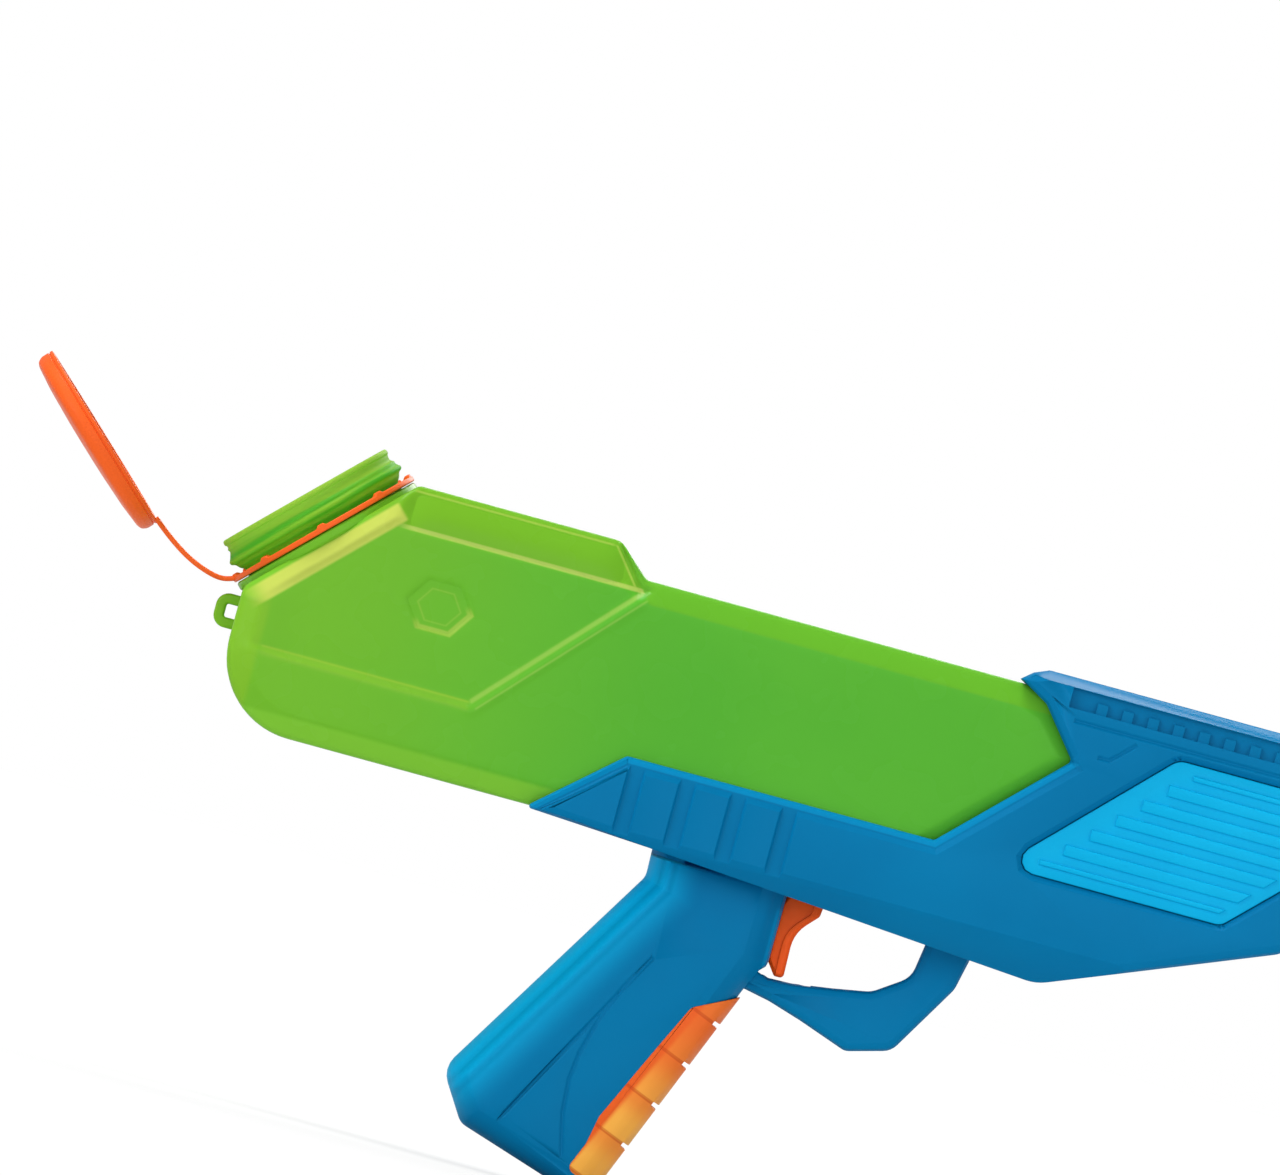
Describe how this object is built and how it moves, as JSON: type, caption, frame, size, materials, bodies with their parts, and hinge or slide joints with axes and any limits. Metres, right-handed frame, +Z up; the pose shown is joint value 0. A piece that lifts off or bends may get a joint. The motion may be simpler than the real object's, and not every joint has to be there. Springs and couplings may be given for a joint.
{
  "type": "trigger water squirter",
  "caption": "Hand-held toy water squirter with a translucent bottle tank, tilted screw neck, tethered snap cap, two-part housing with grip and guard, and a trigger-worked piston pump.",
  "frame": {"origin": "middle of the hand grip, where a hand holds the toy", "axes": "+X along the barrel towards the muzzle, +Y to the left, +Z up with the barrel level"},
  "size_m": [0.4297, 0.071, 0.1961],
  "materials": {
    "shell_blue": "satin moulded",
    "panel_blue": "satin moulded",
    "orange_plastic": "satin moulded",
    "tank_green": "translucent blow-moulded",
    "black_rubber": "matte",
    "natural_plastic": "as moulded",
    "clear_hose": "soft hose",
    "plain_steel": "plain"
  },
  "bodies": {
    "housing": {"body_shell_right": "shell_blue", "body_shell_left": "shell_blue", "side_panel_right": "panel_blue", "side_panel_left": "panel_blue", "grip_insert": "orange_plastic", "tank": "tank_green", "tank_grommet": "black_rubber", "trigger_pin": "plain_steel", "pump_cylinder": "natural_plastic", "cylinder_gland": "natural_plastic", "return_spring": "plain_steel", "valve_block": "natural_plastic", "valve_cap": "natural_plastic", "inlet_spring": "plain_steel", "outlet_spring": "plain_steel", "outlet_tube": "clear_hose", "nozzle": "orange_plastic", "muzzle_ring": "orange_plastic", "body_screw_1": "plain_steel", "body_screw_2": "plain_steel", "body_screw_3": "plain_steel", "body_screw_4": "plain_steel", "body_screw_5": "plain_steel", "body_screw_6": "plain_steel"},
    "trigger": {"trigger": "orange_plastic"},
    "plunger": {"plunger": "natural_plastic", "piston_seal": "black_rubber"},
    "inlet_ball": {"inlet_ball": "plain_steel"},
    "outlet_ball": {"outlet_ball": "plain_steel"},
    "cap_ring": {"cap_ring": "orange_plastic", "cap_strap": "orange_plastic"},
    "cap": {"fill_cap": "orange_plastic", "cap_seal": "black_rubber"}
  },
  "joints": [
    {"name": "trigger_pull", "type": "hinge", "parent": "housing", "child": "trigger", "pos_m": [0.05, 0, 0.0555], "axis": [0, 1, 0], "range_deg": [0, 20], "stiffness_Nm_per_rad": 0.08},
    {"name": "plunger_slide", "type": "slide", "parent": "housing", "child": "plunger", "axis": [-1, 0, 0], "range_m": [0, 0.0085], "deforming": ["return_spring"]},
    {"name": "inlet_ball_lift", "type": "slide", "parent": "housing", "child": "inlet_ball", "axis": [0, 0, -1], "range_m": [0, 0.0012], "stiffness_N_per_m": 80, "deforming": ["inlet_spring"]},
    {"name": "outlet_ball_lift", "type": "slide", "parent": "housing", "child": "outlet_ball", "axis": [0, 0, 1], "range_m": [0, 0.0012], "stiffness_N_per_m": 80, "deforming": ["outlet_spring"]},
    {"name": "ring_turn", "type": "hinge", "parent": "housing", "child": "cap_ring", "pos_m": [-0.11575, 0, 0.11855], "axis": [-0.7071, 0, 0.7071], "continuous": true},
    {"name": "cap_swing", "type": "hinge", "parent": "cap_ring", "child": "cap", "pos_m": [-0.1544, 0, 0.0961], "axis": [0, 1, 0], "range_deg": [-25, 92], "stiffness_Nm_per_rad": 0.1, "deforming": ["cap_strap"]}
  ],
  "couplings": [
    {"joint": "plunger_slide", "follows": "trigger_pull", "m_per_rad": 0.0232}
  ]
}
